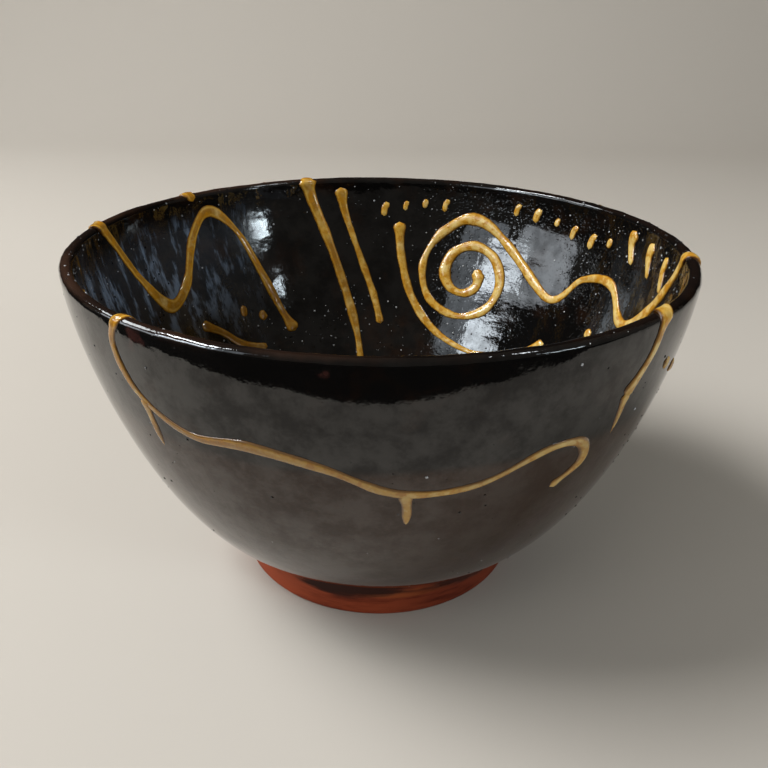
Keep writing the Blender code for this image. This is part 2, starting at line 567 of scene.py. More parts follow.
sample = trail([(0, 0), (0, -30)], 3.0)
print("a straight line of 30 mm has", len(sample[0]), "points")

# %% [markdown]
# The pattern is made up for this lesson in the loose manner of trailed slipware: a running wave under the
# lip, tall strokes that fall into the well, an open spiral, rows of dots, and a long wavering line outside.
# Each row of numbers says where the nozzle went. After it come the width in millimetres, and how much
# thicker the line starts and ends. Lines that repeat are made by loops.

# %% Lines poured inside
inside_lines = [
    trail([(176, 2), (171, -9), (165, -26), (158, -40), (150, -34), (144, -17), (138, -9), (131, -19),
           (126, -38), (122, -56), (119, -66)], 3.9, 1.4, 1.8, seed=1),
    trail([(110, 1.2), (109, -9), (105, -28), (101, -50), (98, -70), (97, -88)], 3.9, 1.7, 1.2, seed=2),
    trail([(101, -5), (100, -16), (96, -36), (92, -54), (90, -66)], 3.5, 1.9, 1.4, seed=3),
    trail([(150, -52), (144, -58), (138, -66), (130, -70)], 3.4, 1.5, 1.3, seed=4),
    trail([(85, -20), (84, -36), (80, -54), (71, -68), (57, -74), (43, -70), (33, -60)],
          3.5, 1.8, 1.5, seed=8),
]
COMMAS = 3   # short strokes at the right, each lower, finer and further on than the last
for i in range(COMMAS):
    turn = 15 - 8 * i
    comma = [(turn, -5 - i), (turn + 0.5, -10 - i), (turn - 1.5, -17 - i)]
    inside_lines.append(trail(comma, 4.2 - 0.5 * i, 1.3, 0.7, seed=9 + 90 * i))
print(len(inside_lines), "lines inside")

# %% [markdown]
# A spiral is a line whose distance from its middle grows as it turns. Its points could be chosen by eye,
# but a sum keeps its turns evenly apart. Millimetres along the wall have to become degrees round it, so the
# sum divides by the bowl's radius there.

# %% Open spirals on the wall
SPIRAL_POINTS = 8   # in each turn


def spiral(turn, station, first_radius, last_radius, turns, start_angle, stretch=1.0):
    """Points of a spiral on the wall, from its middle outwards."""
    points = []
    count = int(SPIRAL_POINTS * turns)
    for i in range(count + 1):
        angle = start_angle + 2 * math.pi * turns * i / count
        away = first_radius + (last_radius - first_radius) * i / count
        height = station + away * math.sin(angle)
        radius = on_bowl(0.0, height * MM).x / MM
        points.append((turn + stretch * math.degrees(away * math.cos(angle) / radius), height))
    return points


wandering_tail = [(38, -42), (28, -30), (18, -27), (9, -37), (1, -30), (-7, -12), (-11, 1), (-13, 14),
                  (-19, 24)]
spiral_lines = [
    trail(spiral(64, -41, 4, 24, 1.9, 2.4) + wandering_tail, 3.8, 1.9, 1.3, seed=5),
    trail(spiral(250, -38, 4, 19, 1.6, 0.4), 3.4, 1.7, 1.3, seed=6),
    trail(spiral(200, -104, 3, 14, 2.1, 1.0, 0.6), 3.6, 1.7, 1.3, seed=7),
]
print(len(spiral_lines), "spirals")

# %% [markdown]
# Between two lines the slip falls in drops, and each drop settles as a low round button. A row of them
# could be copied by hand, but it is a loop with a little chance in it, and the chance has a fixed seed so
# that the bowl comes out the same each time.

# %% Rows of dots
DOT_ROWS = (   # first place, last place, how many, width in millimetres, seed
    ((88, -12), (72, -10), 4, 3.4, 11),
    ((52, -8), (22, -12), 6, 3.0, 21),
    ((134, -50), (128, -54), 2, 2.8, 31),
    ((18, -46), (8, -52), 3, 3.2, 41),
    ((286, -24), (312, -20), 5, 3.2, 51),
    ((150, 22), (172, 30), 4, 3.2, 61),
    ((322, 20), (333, 29), 3, 3.0, 71),
)


def dots(start, end, count, width, seed):
    """A row of drops from one place on the bowl to another, each a very short trail."""
    chance = random.Random(seed)
    row = []
    for i in range(count):
        share = i / max(count - 1, 1)
        turn = start[0] + (end[0] - start[0]) * share + chance.uniform(-0.5, 0.5)
        station = start[1] + (end[1] - start[1]) * share + chance.uniform(-1.0, 1.0)
        size = chance.uniform(0.8, 1.5)
        middle, end_of_drop = (turn + 0.8 * size, station - 1.2 * size), (turn + size, station - 4.0 * size)
        drop = [(turn, station), middle, end_of_drop]
        row.append(trail(drop, width * chance.uniform(0.8, 1.25), 1.0, 1.0, seed + i))
    return row


dot_lines = [dot for row in DOT_ROWS for dot in dots(*row)]
print(len(dot_lines), "dots")

# %% [markdown]
# The outside has fewer lines. One runs over the lip at the near left and wanders to the right, where it
# turns down and ends in a heavy drop. Where it was thick, the slip ran down before it set and left pointed
# drips. Each drip is a short trail of its own that starts on the line and ends fine.

# %% Lines poured outside
outside_lines = [
    trail([(237, -13), (233, -6), (230, 1), (228, 10), (231, 22), (240, 30), (251, 29), (262, 33), (273, 41),
           (285, 40), (296, 32), (303, 33), (305, 41), (300, 48)], 2.7, 1.5, 1.6, seed=81),
    trail([(232, 23), (232.3, 31), (232.4, 39)], 2.4, 1.6, 0.35, seed=82),
    trail([(274, 41), (274.5, 47), (274.6, 54)], 2.6, 1.8, 0.35, seed=83),
    trail([(322, -9), (319, -3), (316, 2), (314, 12), (310, 22)], 3.0, 1.5, 1.8, seed=89),
    trail([(310.3, 21), (310.6, 28), (310.7, 35)], 2.6, 1.7, 0.35, seed=90),
    trail([(30, 1), (34, 14), (46, 22), (60, 18), (74, 22), (86, 32), (98, 30), (104, 22)],
          3.3, 1.5, 1.6, seed=84),
    trail([(47, 22), (47.4, 30), (47.5, 38)], 2.5, 1.6, 0.4, seed=85),
    trail([(120, 1), (124, 10), (132, 16), (140, 13), (143, 4), (142, -4)], 3.1, 1.4, 1.3, seed=86),
    trail([(214, -3), (207, -22), (203, -40), (204, -60)], 3.3, 1.6, 1.5, seed=87),
    trail([(330, -4), (326, -20), (318, -34), (306, -40), (296, -56), (292, -72)], 3.3, 1.6, 1.5, seed=88),
]
lines = inside_lines + spiral_lines + dot_lines + outside_lines
print(len(lines), "lines of slip,", round(sum(len(places) for places, _ in lines) * STEP_ALONG), "m poured")

# %% [markdown]
# Slip lies flat on the clay wherever it runs, even over the lip. A line through the drawn points alone
# would float or sink a little, because the turned wall sways. So every line is first pressed onto the wall,
# and takes the wall's own direction and station with it.

# %% Press a line onto the wall


def from_wall(tree, wall, value, data_type):
    """A value of the wall, read where the wall is nearest."""
    inputs = {"Mesh": wall, "Value": value}
    return add(tree, "GeometryNodeSampleNearestSurface", inputs, data_type=data_type).outputs["Value"]


def pressed_line(tree, line, wall):
    """A line laid on the wall, with the wall's direction and station at each point."""
    outward = add(tree, "GeometryNodeInputNormal").outputs[0]
    line = store(tree, line, "above", from_wall(tree, wall, outward, "FLOAT_VECTOR"), "FLOAT_VECTOR")
    line = store(tree, line, "station", from_wall(tree, wall, stored(tree, "station"), "FLOAT"))
    near = add(tree, "GeometryNodeProximity", {"Geometry": wall}, target_element="FACES").outputs["Position"]
    line = add(tree, "GeometryNodeSetPosition", {"Geometry": line, "Position": near}).outputs[0]
    facing = {"Curve": line, "Normal": stored(tree, "above", "FLOAT_VECTOR")}
    return add(tree, "GeometryNodeSetCurveNormal", facing, mode="FREE").outputs[0]


print("the wall to press on has", len(bowl.data.polygons), "faces")

# %% [markdown]
# The slip itself is a soft bead, about a third as high as half its width. A thread with a round section
# would stand too proud, so a low section is swept along each line. Its rim dips just under the glaze, which
# closes the gap that a loose thread would show, and the crest is left a little uneven.

# %% Sweep the slip along its lines
TRAIL_RELIEF = 0.36      # height of the bead as a share of half its width
TRAIL_SINK = 0.05        # how far the whole bead lies in the glaze, as a share of half its width
CREST_ROUNDNESS = 0.85   # below one, the bead has fuller shoulders than a flattened circle
UNDERSIDE = 0.3          # how far the bead reaches below its middle, as a share of half its width


def low_section(tree, given):
    """The section of a bead, one unit to each side, with a measure of how far across it each point is."""
    axes = axes_of(tree, position(tree))
    rise = sum_of(tree, "POWER", sum_of(tree, "MAXIMUM", axes[0], 0.0), CREST_ROUNDNESS)
    rise = times(tree, rise, given["Relief"])
    under = times(tree, sum_of(tree, "MINIMUM", axes[0], 0.0), UNDERSIDE)
    height = sum_of(tree, "SUBTRACT", sum_of(tree, "ADD", rise, under), given["Sink"])
    bead = joined(tree, height, axes[1], 0.0)
    measured = store(tree, circle(tree, given["Sides"], 1.0), "across", axes[1])
    return add(tree, "GeometryNodeSetPosition", {"Geometry": measured, "Position": bead}).outputs[0]


def slip_tree():
    """Lays a bead with a low round section along each line."""
    tree, given, output = geometry_tree(
        "Slip",
        ("Wall", "Object"),
        ("Relief", "Float"),
        ("Sink", "Float"),
        ("Sides", "Int"),
        ("Roughness of crest", "Float"),
        ("Finish", "Material"),
    )
    wall = add(tree, "GeometryNodeObjectInfo", {"Object": given["Wall"]}, transform_space="RELATIVE")
    line = pressed_line(tree, given["Geometry"], wall.outputs["Geometry"])
    thick = add(tree, "GeometryNodeInputRadius").outputs[0]
    sweep = {"Curve": line, "Profile Curve": low_section(tree, given), "Scale": thick, "Fill Caps": True}
    swept = add(tree, "GeometryNodeCurveToMesh", sweep).outputs[0]
    uneven = times(tree, waver(tree, position(tree), 260.0), given["Roughness of crest"])
    finish_tree(tree, output, swollen(tree, swept, uneven), given["Finish"])
    return tree


slip_finish = bpy.data.materials.new("yellow_slip_under_clear_glaze")
slip = grow(
    drawn_curve("slip_lines", lines),
    "slip_trails",
    slip_tree(),
    Wall=bowl,
    Relief=TRAIL_RELIEF,
    Sink=TRAIL_SINK,
    Sides=16,
    Roughness_of_crest=0.20 * MM,
    Finish=slip_finish,
)

# %% [markdown]
# Glaze boils as it melts, and the last bubbles freeze as pimples, most of them about half a millimetre
# wide. Each one catches its own spark of light. They could be a bump, but then they would have no edge, and
# there are thousands, so a tree scatters one small flattened ball over the glazed wall. They lie thickly in
# some patches and hardly at all in others, more of them at the right, and few outside.

# %% Scatter pimples over the glaze
FEW = 0.08                             # share of the pimples left in bare patches, and outside
INSIDE_WALL = (3 * MM, -3 * MM)        # stations over which the inside begins
MORE_AT_RIGHT = (10 * MM, 60 * MM)     # X
MOSTLY_SMALL = 2.2                     # a higher power leaves fewer large pimples
PAINTED_GLINT_SEED = 31


def dice(tree, seed):
    """A number from 0 to 1 by chance for each point."""
    return add(tree, "FunctionNodeRandomValue", {2: 0.0, 3: 1.0, 8: seed}, data_type="FLOAT").outputs[1]


def pimple_tree():
    """Scatters small flat balls on the glazed part of the wall."""
    tree, given, output = geometry_tree(
        "Pimples",
        ("Density", "Float"),
        ("Smallest", "Float"),
        ("Largest", "Float"),
        ("Flatness", "Float"),
        ("Last station", "Float"),
        ("Seed", "Int"),
        ("Finish", "Material"),
    )
    station = stored(tree, "station")
    where = position(tree)
    patches = ramp(tree, noise(tree, where, 22.0), 0.42, 0.62, FEW, 1.0)
    inside = ramp(tree, station, *INSIDE_WALL, FEW, 1.0)
    inside = times(tree, inside, ramp(tree, axes_of(tree, where)[0], *MORE_AT_RIGHT, 0.8, 1.8))
    spots = add(
        tree,
        "GeometryNodeDistributePointsOnFaces",
        {
            "Mesh": given["Geometry"],
            "Selection": sum_of(tree, "LESS_THAN", station, given["Last station"]),
            "Density": times(tree, times(tree, patches, inside), given["Density"]),
            "Seed": given["Seed"],
        },
        distribute_method="RANDOM",
    )
    # Each pimple gets a number by chance, which later turns some of them pale as a painted glint.
    marked = store(tree, spots.outputs[0], "paleness", dice(tree, PAINTED_GLINT_SEED))
    ball = add(tree, "GeometryNodeMeshUVSphere", {"Segments": 6, "Rings": 3, "Radius": 1.0}).outputs["Mesh"]
    share = sum_of(tree, "POWER", dice(tree, given["Seed"]), MOSTLY_SMALL)
    growth = sum_of(tree, "SUBTRACT", given["Largest"], given["Smallest"])
    size = times(tree, share, growth, given["Smallest"])
    shape = joined(tree, size, size, times(tree, size, given["Flatness"]))
    placing = {"Points": marked, "Instance": ball, "Rotation": spots.outputs["Rotation"], "Scale": shape}
    placed = add(tree, "GeometryNodeInstanceOnPoints", placing).outputs[0]
    finish_tree(tree, output, placed, given["Finish"])
    return tree


bubble_finish = bpy.data.materials.new("bubbles_with_painted_glints")
pimples = grow(
    in_scene("pimple_ground", bowl.data.copy()),
    "glaze_pimples",
    pimple_tree(),
    Density=130000.0,
    Smallest=0.16 * MM,
    Largest=0.55 * MM,
    Flatness=0.42,
    Last_station=STATIONS[FOOT_CORNER] - 4 * MM,
    Seed=4,
    Finish=bubble_finish,
)

# %% [markdown]
# The finishes differ only in colour, shine and fine relief, so they are mixed from noise and masks, with no
# picture. These helpers blend two colours or two values by a mask, read an attribute, and shade a surface
# as if it had a relief that is too fine to model.

# %% Helpers for the finishes


def material_tree(material):
    """The node tree of a material, and its main shader."""
    material.use_nodes = True
    return material.node_tree, material.node_tree.nodes["Principled BSDF"]


def vector_sum(tree, operation, first, second=(0.0, 0.0, 0.0)):
    """The vector that one Vector Math node makes."""
    return add(tree, "ShaderNodeVectorMath", {0: first, 1: second}, operation=operation).outputs["Vector"]


def blend(tree, share, first, second):
    """A colour between two colours."""
    mixed = tree.nodes.new("ShaderNodeMix")
    mixed.data_type = "RGBA"
    mixed.clamp_factor = True
    for socket, value in ((mixed.inputs[0], share), (mixed.inputs[6], first), (mixed.inputs[7], second)):
        if isinstance(value, bpy.types.NodeSocket):
            tree.links.new(value, socket)
        elif isinstance(value, tuple):
            socket.default_value = (*value, 1.0)
        else:
            socket.default_value = value
    return mixed.outputs[2]


def between(tree, share, first, second):
    """A value between two values."""
    return add(tree, "ShaderNodeMix", {0: share, 2: first, 3: second}, data_type="FLOAT").outputs[0]


def attribute(tree, name):
    """A value that the piece carries on its points."""
    return add(tree, "ShaderNodeAttribute", attribute_name=name).outputs["Fac"]


def bump(tree, shader, height, distance=1.0):
    """Shade as if the surface rose by height times distance."""
    bumped = add(tree, "ShaderNodeBump", {"Strength": 1.0, "Distance": distance, "Height": height}).outputs[0]
    tree.links.new(bumped, shader.inputs["Normal"])


print("finish helpers are ready")

# %% [markdown]
# The glaze is rich in iron. Where it lies thick it is black and as smooth as treacle. It breaks to brown on
# the lip, in rusty spots just outside it, and below the line where the second of its two coats ends.
# Blue-grey streaks down the left wall are a painted reflection of cool light. All of this could be painted by
# hand, but a mask for each follows the same rule as the glaze did, because the station says where each
# begins.

# %% Colours of the black glaze
GLAZE_BLACK = (0.0035, 0.0032, 0.0030)
GLAZE_BROWN = (0.022, 0.009, 0.0035)
LIP_BROWN = (0.042, 0.021, 0.013)
# The blue is a painted reflection of cool light, streaked down the left wall.
PAINTED_REFLECTION_BLUE = (0.150, 0.200, 0.275)
RUST = (0.034, 0.013, 0.011)
SECOND_COAT_END = (35 * MM, 39 * MM)   # stations
THIN_LIP = (3.4 * MM, 1.4 * MM)        # distances from the top of the lip
WARM_LIP = (10 * MM, -75 * MM)         # X
RUST_TOP = (1.0 * MM, 2.5 * MM)        # stations
RUST_FOOT = (10 * MM, 6 * MM)          # stations
PAINTED_REFLECTION_TOP = (-6 * MM, -16 * MM)        # stations
PAINTED_REFLECTION_SIDE = (-45 * MM, -75 * MM)      # X
PAINTED_REFLECTION_WHOLE = (-80 * MM, -87 * MM)     # X, beyond which the painted reflection has no gaps


def glaze_colour(tree, station, where, axes):
    """The colour of the glaze, and its roughness."""
    mottled = ramp(tree, noise(tree, where, 60.0, 4.0, 0.6), 0.5, 0.75)
    one_coat = ramp(tree, times(tree, noise(tree, where, 12.0), 6 * MM, station), *SECOND_COAT_END)
    warmth = sum_of(tree, "MAXIMUM", times(tree, mottled, 0.6), one_coat)
    glaze = blend(tree, warmth, GLAZE_BLACK, GLAZE_BROWN)
    from_lip = times(tree, noise(tree, where, 300.0, 3.0), 1.6 * MM, sum_of(tree, "ABSOLUTE", station))
    uneven = ramp(tree, noise(tree, where, 35.0, 3.0), 0.35, 0.6, 0.25, 1.0)
    thin = times(tree, ramp(tree, from_lip, *THIN_LIP), uneven)
    thin = times(tree, thin, ramp(tree, axes[0], *WARM_LIP, 0.22, 1.0))
    glaze = blend(tree, thin, glaze, LIP_BROWN)
    rust = ramp(tree, noise(tree, where, 95.0, 3.0), 0.63, 0.69)
    rust = times(tree, rust, ramp(tree, station, *RUST_TOP))
    rust = times(tree, rust, ramp(tree, station, *RUST_FOOT))
    glaze = blend(tree, rust, glaze, RUST)
    # Blue-grey streaks on the left wall: a painted reflection, in the colour and a little in the roughness.
    flow = joined(tree, axes[0], axes[1], times(tree, axes[2], 0.18))   # drawn out from top to bottom
    reflection_streaks = ramp(tree, noise(tree, flow, 190.0, 4.0, 0.7), 0.49, 0.65, 0.09, 1.0)
    reflection_zone = times(tree, ramp(tree, axes[0], *PAINTED_REFLECTION_SIDE), ramp(tree, station, *PAINTED_REFLECTION_TOP))
    reflection_patches = ramp(tree, noise(tree, where, 34.0), 0.36, 0.52)
    reflection_patches = sum_of(tree, "MAXIMUM", reflection_patches, ramp(tree, axes[0], *PAINTED_REFLECTION_WHOLE))
    painted_reflection = times(tree, reflection_zone, reflection_patches)
    glaze = blend(tree, times(tree, painted_reflection, reflection_streaks), glaze, PAINTED_REFLECTION_BLUE)
    glaze_roughness = times(tree, mottled, 0.05, 0.045)
    glaze_roughness = times(tree, thin, 0.08, glaze_roughness)
    glaze_roughness = times(tree, painted_reflection, 0.10, glaze_roughness)
    glaze_roughness = times(tree, reflection_zone, 0.16, glaze_roughness)
    return glaze, glaze_roughness


print("one coat of glaze from", round(SECOND_COAT_END[0] / MM), "mm below the lip")

# %% [markdown]
# The foot has no glaze, so it is matt and orange red. Turning left faint lines round it, its right side is
# darkened with painted shade, and dark ovals near its top are where fingers held it for dipping. The oval at
# 325 degrees is drawn wide enough to take in painted shade under the belly as well. Each oval could be a
# small picture, but its angle round the bowl and its height are enough to draw it with a sum.

# %% Colours of the bare clay
CLAY_RED = (0.40, 0.078, 0.030)
CLAY_DARK = (0.21, 0.034, 0.012)
CLAY_ORANGE = (0.46, 0.115, 0.034)
# Painted shade for the right side of the foot.
CLAY_PAINTED_SHADE = (0.070, 0.012, 0.006)
SMEAR = (0.040, 0.014, 0.010)
PAINTED_SHADE_SIDE = (-20 * MM, 28 * MM)   # X
# Ovals: degrees round, half the width in degrees, then height and half the depth in millimetres
ORANGE_PATCH = (283, 20, 8.4, 1.5)
# The second oval, at 325 degrees, is partly a real smear and partly painted shade under the belly.
SMEARS = ((255, 31, 12.0, 5.2), (325, 36, 11.5, 6.0), (12, 22, 14.0, 5.0), (60, 26, 13.0, 4.5),
          (112, 18, 14.0, 6.0), (165, 30, 13.0, 4.0), (210, 14, 13.5, 3.0))
RAGGED = 1.6   # how much the turning lines tear the edge of an oval
OVAL_EDGE = (2.1, 1.3)


def turning_lines(tree, axes):
    """A noise drawn out round the foot, as the turning tool leaves it."""
    return noise(tree, joined(tree, axes[0], axes[1], times(tree, axes[2], 9.0)), 45.0, 4.0, 0.65)


def oval(tree, axes, angle, half_angle, height, half_height, streak):
    """A soft-edged oval on the foot: its angle round the bowl, its height, and half its size each way."""
    turn = math.radians(angle)
    reach = times(tree, axes[0], math.cos(turn) / FOOT_TOP_RADIUS)
    reach = times(tree, axes[1], math.sin(turn) / FOOT_TOP_RADIUS, reach)
    widest = 1 - math.cos(math.radians(half_angle))
    aside = times(tree, sum_of(tree, "SUBTRACT", 1.0, reach), 1 / widest)
    away = times(tree, axes[2], 1 / (half_height * MM), -height / half_height)
    return ramp(tree, times(tree, streak, RAGGED, times(tree, away, away, aside)), *OVAL_EDGE)


def clay_colour(tree, axes, streak):
    """The colour of the bare clay, and its roughness."""
    clay = blend(tree, ramp(tree, streak, 0.30, 0.60), CLAY_DARK, CLAY_RED)
    clay = blend(tree, oval(tree, axes, *ORANGE_PATCH, streak), clay, CLAY_ORANGE)
    # Painted shade: the foot turns darker towards its right side.
    painted_shade = times(tree, ramp(tree, axes[0], *PAINTED_SHADE_SIDE), ramp(tree, streak, 0.30, 0.60, 1.0, 0.75))
    clay = blend(tree, painted_shade, clay, CLAY_PAINTED_SHADE)
    smeared = oval(tree, axes, *SMEARS[0], streak)
    for smear in SMEARS[1:]:
        smeared = sum_of(tree, "MAXIMUM", smeared, oval(tree, axes, *smear, streak))
    return blend(tree, smeared, clay, SMEAR), times(tree, smeared, -0.32, 0.52)


print(len(SMEARS), "smears on the foot")

# %% [markdown]
# A glaze is never as flat as glass. It has a skin like orange peel, runs that flowed down the wall, beads
# along the lip, and small pits and finger lines on the right. The right wall also leans a touch below its
# shoulder, which shows only in what it mirrors. All of it is too fine to model, so it bends the light
# alone, as one height that goes into a bump.

# %% Fine relief of the glaze
RUN_RELIEF = 0.06 * MM
PEEL_RELIEF = 0.022 * MM
WAVE_RELIEF = (0.02 * MM, 0.26 * MM)   # outside and inside
WAVES_GROW = (4 * MM, -4 * MM)         # stations
LEAN = 2.4 * MM
LEAN_DEPTH = (-12 * MM, -50 * MM)      # stations
LEAN_SIDE = (-20 * MM, 70 * MM)        # X
PIT_DEPTH = 0.05 * MM
PIT_SIDE = (5 * MM, 45 * MM)           # X
PIT_TOP = (0.0, -8 * MM)               # stations
FINGER_RELIEF = 0.03 * MM
LIP_BEAD_RELIEF = 0.09 * MM
LIP_BEAD_BAND = (4.0 * MM, 1.5 * MM)   # distances from the top of the lip


def glaze_relief(tree, station, where, axes, streak):
    """How far the surface of the glaze rises, in metres."""
    level = vector_sum(tree, "NORMALIZE", vector_sum(tree, "MULTIPLY", where, (1.0, 1.0, 0.0)))
    level = vector_sum(tree, "MULTIPLY", level, (RIM_RADIUS, RIM_RADIUS, 0.0))
    down = joined(tree, 0.0, 0.0, times(tree, station, 0.14))
    runs = noise(tree, vector_sum(tree, "ADD", level, down), 170.0, 3.0)
    relief = times(tree, noise(tree, where, 62.0, 3.0), ramp(tree, station, *WAVES_GROW, *WAVE_RELIEF))
    relief = times(tree, noise(tree, where, 620.0, 3.0), PEEL_RELIEF, relief)
    relief = times(tree, runs, RUN_RELIEF, relief)
    lean = times(tree, ramp(tree, station, *LEAN_DEPTH), ramp(tree, axes[0], *LEAN_SIDE))
    relief = times(tree, lean, LEAN, relief)
    right = times(tree, ramp(tree, axes[0], *PIT_SIDE), ramp(tree, station, *PIT_TOP))
    pitted = times(tree, right, ramp(tree, noise(tree, where, 26.0, 1.0), 0.40, 0.60, 0.15, 1.0))
    pits = times(tree, ramp(tree, noise(tree, where, 900.0, 1.0), 0.58, 0.70), pitted)
    relief = times(tree, pits, -PIT_DEPTH, relief)
    relief = times(tree, times(tree, streak, right), FINGER_RELIEF, relief)
    at_lip = ramp(tree, sum_of(tree, "ABSOLUTE", station), *LIP_BEAD_BAND)
    return times(tree, times(tree, noise(tree, where, 520.0), at_lip), LIP_BEAD_RELIEF, relief)


print("deepest pit", round(PIT_DEPTH / MM, 2), "mm")

# %% [markdown]
# Glaze and bare clay could be two materials on two sets of faces, but then the edge would follow the mesh.
# One material that changes from one to the other at a ragged station lets the glaze end as it dried. Its
# gloss is cloudy, because the glaze melted a little unevenly.

# %% Black glaze over red clay
GLAZE_IOR = 1.46
GLAZE_EDGE = (1.3 * MM, 0.5 * MM)   # stations, past the foot's corner
GLAZE_RAGGED = 1.6 * MM
CLAY_GLOSS = 0.15
CLOUDY_GLOSS = (0.36, 0.74)
CLAY_LINES = 0.10 * MM
CLAY_GRAIN = 0.05 * MM


def glaze_and_clay(material, corner):
    """Black glaze down to the foot's corner station, and bare clay below it."""
    tree, shader = material_tree(material)
    station = attribute(tree, "station")
    where = add(tree, "ShaderNodeTexCoord").outputs["Object"]
    axes = axes_of(tree, where)
    streak = turning_lines(tree, axes)
    edge = times(tree, noise(tree, where, 35.0, 3.0), GLAZE_RAGGED, station)
    glazed = ramp(tree, edge, corner + GLAZE_EDGE[0], corner + GLAZE_EDGE[1])
    glaze, glaze_roughness = glaze_colour(tree, station, where, axes)
    clay, dryness = clay_colour(tree, axes, streak)
    tree.links.new(blend(tree, glazed, clay, glaze), shader.inputs["Base Color"])
    tree.links.new(between(tree, glazed, dryness, glaze_roughness), shader.inputs["Roughness"])
    shader.inputs["IOR"].default_value = GLAZE_IOR
    cloudy = ramp(tree, noise(tree, where, 85.0, 6.0, 0.7), 0.36, 0.64, *CLOUDY_GLOSS)
    tree.links.new(between(tree, glazed, CLAY_GLOSS, cloudy), shader.inputs["Specular IOR Level"])
    grain = times(tree, noise(tree, where, 300.0, 3.0), CLAY_GRAIN)
    clay_relief = times(tree, streak, CLAY_LINES, grain)
    bump(tree, shader, between(tree, glazed, clay_relief, glaze_relief(tree, station, where, axes, streak)))


glaze_and_clay(bowl_finish, STATIONS[FOOT_CORNER])
print("glaze ends", round(STATIONS[FOOT_CORNER] / MM), "mm below the lip")

# %% [markdown]
# Most pimples are as black as the glaze around them. Some are painted pale, as a painted glint that stands in
# for the spark of light each one catches. Two materials could share them out, but each pimple carries a
# number of its own, so one material can turn paler as that number rises.

# %% Bubbles in the glaze
# Pale pimples are a painted glint, standing in for the spark of light that each one catches.
BUBBLE_PAINTED_GLINT = (0.42, 0.44, 0.46)
PAINTED_GLINT_FROM = (0.60, 0.95)   # the pimple's own number, from black to wholly pale
BUBBLE_ROUGHNESS = 0.05


def glaze_with_painted_glints(material):
    """Black glaze with a pale painted glint on some of the pimples."""
    tree, shader = material_tree(material)
    colour = blend(tree, ramp(tree, attribute(tree, "paleness"), *PAINTED_GLINT_FROM), GLAZE_BLACK, BUBBLE_PAINTED_GLINT)
    tree.links.new(colour, shader.inputs["Base Color"])
    shader.inputs["Roughness"].default_value = BUBBLE_ROUGHNESS
    shader.inputs["IOR"].default_value = GLAZE_IOR


glaze_with_painted_glints(bubble_finish)
print("pale bubbles:", BUBBLE_PAINTED_GLINT)

# %% [markdown]
# The slip is a pale clay that turns honey yellow under the clear lead glaze. It is golden where it lies
# thick, with small orange mottles and pale ones that are partly pale slip and partly a painted highlight,
# more of them on the right wall. Towards its edges the black shows through and makes it amber, then brown.
# Outside, where it is thin, it is browner. A plain yellow would look like paint. The bead carries its own
# measure of how far each point is across it, so the colour follows the bead round every bend.

# %% Yellow slip
SLIP_GOLD = (0.71, 0.410, 0.058)
# The pale colour is partly pale slip and partly a painted highlight.
SLIP_PALE_AND_SHEEN = (0.87, 0.66, 0.24)
SLIP_ORANGE = (0.54, 0.235, 0.012)
SLIP_AMBER = (0.39, 0.175, 0.014)
SLIP_EDGE = (0.07, 0.026, 0.008)
SLIP_THIN = (0.14, 0.080, 0.038)
RICHER_SIDE = (-75 * MM, 20 * MM)    # X, from amber at the left to gold
PALER_SIDE = (-20 * MM, 60 * MM)     # X
MOTTLED_SIDE = (-50 * MM, 30 * MM)   # X
OUTER_WALL = (0.0, 8 * MM)           # stations
SLIP_ROUGHNESS = 0.09
SLIP_IOR = 1.55
SLIP_GRAIN = 0.12 * MM


def slip_core(tree, where, right, patchy):
    """The colour along the middle of a line, from amber through gold to pale."""
    richness = sum_of(tree, "ADD", patchy, ramp(tree, right, *RICHER_SIDE, -0.24, 0.05))
    core = blend(tree, ramp(tree, richness, 0.32, 0.62), SLIP_AMBER, SLIP_GOLD)
    # Pale streaks along the middle, partly a painted highlight, more of them at the right.
    pale = times(tree, ramp(tree, right, *PALER_SIDE), 0.20, noise(tree, where, 160.0, 3.0))
    return blend(tree, ramp(tree, pale, 0.50, 0.85), core, SLIP_PALE_AND_SHEEN)


def slip_colour(material):
    """Golden along the middle, mottled, amber at the sides, brown at the very edge."""
    tree, shader = material_tree(material)
    where = add(tree, "ShaderNodeTexCoord").outputs["Object"]
    right = axes_of(tree, where)[0]
    patchy = noise(tree, where, 70.0, 3.0)
    fine = noise(tree, where, 420.0)
    to_edge = sum_of(tree, "ABSOLUTE", attribute(tree, "across"))
    to_edge = times(tree, sum_of(tree, "SUBTRACT", fine, 0.5), 0.25, to_edge)
    core = slip_core(tree, where, right, patchy)
    side = blend(tree, ramp(tree, to_edge, 0.30, 0.65, 0.0, 0.8), core, SLIP_GOLD)
    mottle = noise(tree, where, 330.0, 3.0, 0.6)
    side = blend(tree, ramp(tree, mottle, 0.50, 0.62, 0.0, 0.85), side, SLIP_ORANGE)
    # Pale mottles, partly a painted highlight, mostly on the right.
    paler = times(tree, ramp(tree, mottle, 0.46, 0.36), ramp(tree, right, *MOTTLED_SIDE, 0.08, 0.60))
    side = blend(tree, paler, side, SLIP_PALE_AND_SHEEN)
    side = blend(tree, ramp(tree, to_edge, 0.66, 0.88), side, SLIP_AMBER)
    colour = blend(tree, ramp(tree, to_edge, 0.86, 1.0), side, SLIP_EDGE)
    outer = ramp(tree, attribute(tree, "station"), *OUTER_WALL)
    thin = times(tree, outer, ramp(tree, to_edge, 0.40, 0.85, 0.60, 0.90))
    thin = times(tree, thin, ramp(tree, patchy, 0.40, 0.60, 0.70, 1.0))
    tree.links.new(blend(tree, thin, colour, SLIP_THIN), shader.inputs["Base Color"])
    shader.inputs["Roughness"].default_value = SLIP_ROUGHNESS
    shader.inputs["IOR"].default_value = SLIP_IOR
    bump(tree, shader, fine, SLIP_GRAIN)


slip_colour(slip_finish)
print("slip from gold", SLIP_GOLD, "to brown at its edge", SLIP_EDGE)

